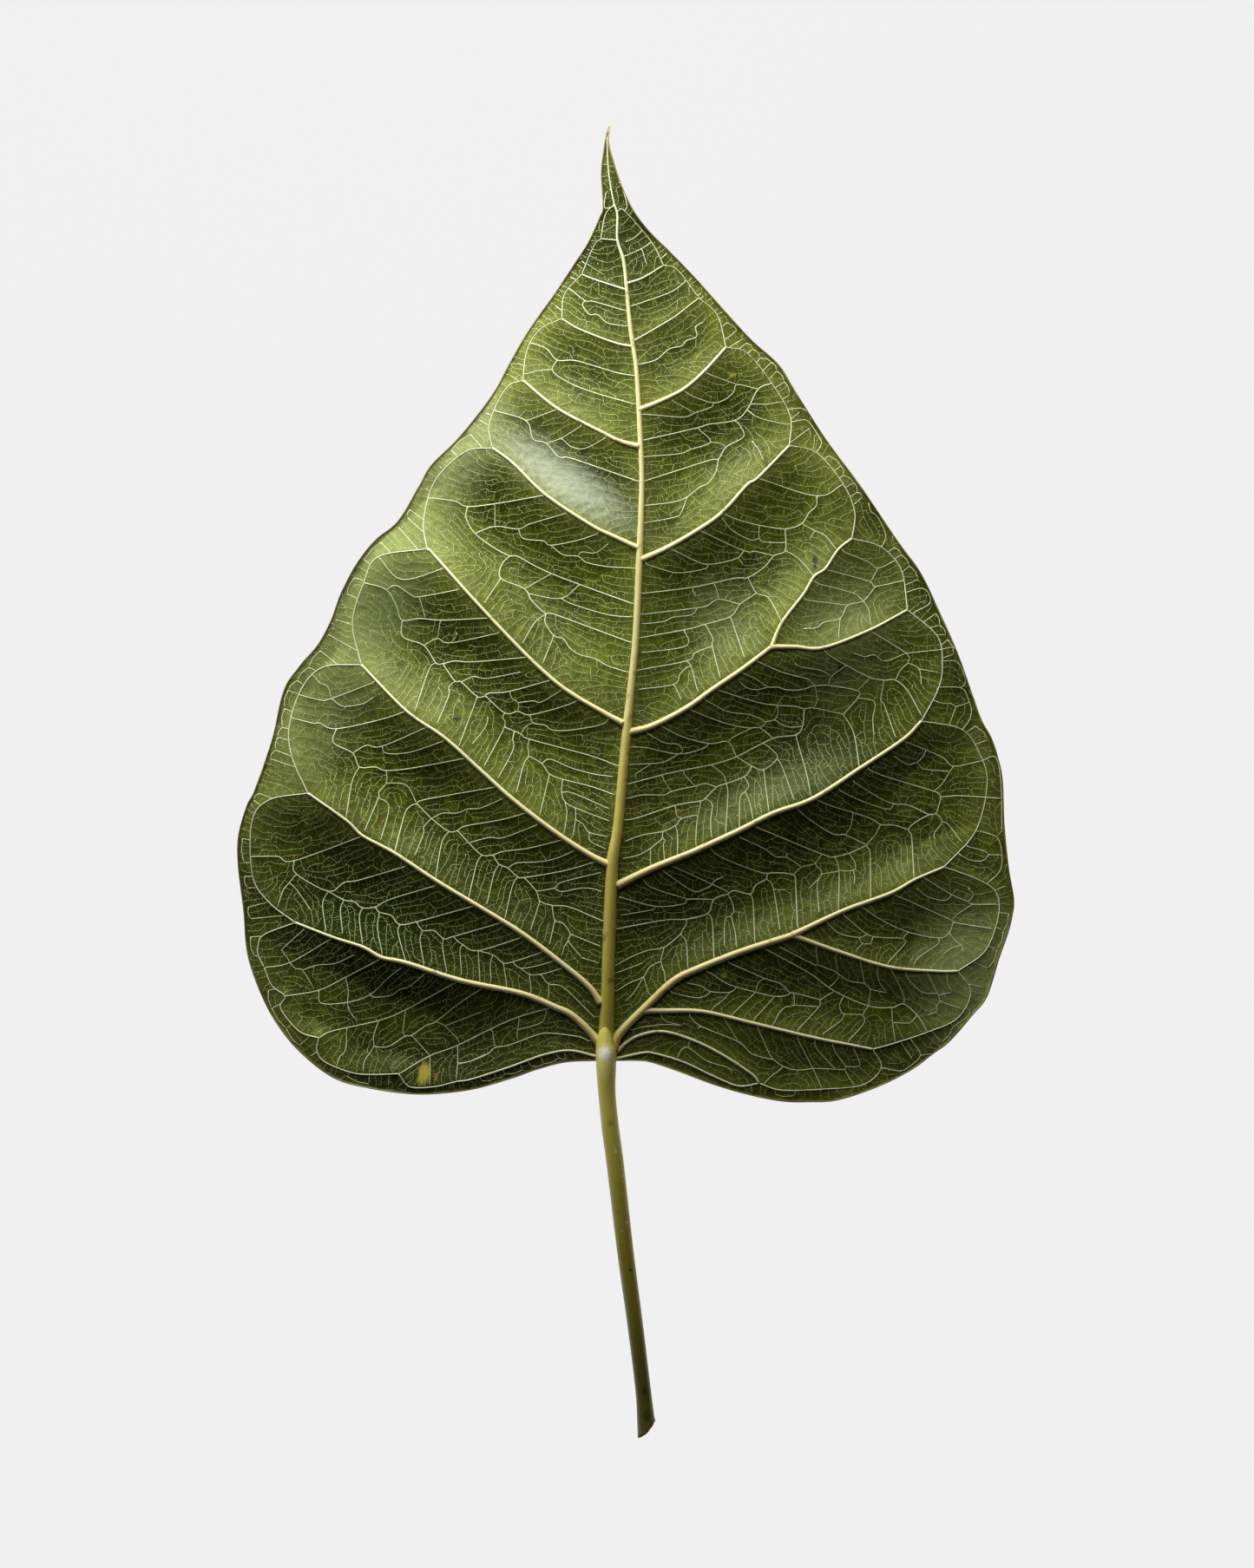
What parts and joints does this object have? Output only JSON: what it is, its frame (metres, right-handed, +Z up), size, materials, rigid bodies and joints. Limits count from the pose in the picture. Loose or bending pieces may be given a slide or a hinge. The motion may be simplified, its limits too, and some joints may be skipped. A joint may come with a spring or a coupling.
{
  "type": "fig leaf",
  "caption": "Picked heart-shaped fig leaf with a long drip tip, lying underside up, with a raised midrib, side veins joined by loops inside the margin, and a cut stalk.",
  "frame": {"origin": "middle of the leaf's box, on the surface the leaf lies on", "axes": "+Y along the midrib from the stalk towards the drip tip, +X to the right seen from above, +Z up out of the veined underside"},
  "size_m": [0.0896, 0.1514, 0.0058],
  "materials": {
    "leaf_blade": "satin",
    "leaf_stalk": "satin"
  },
  "bodies": {
    "root": {"leaf_blade": "leaf_blade", "leaf_stalk": "leaf_stalk"}
  },
  "joints": []
}
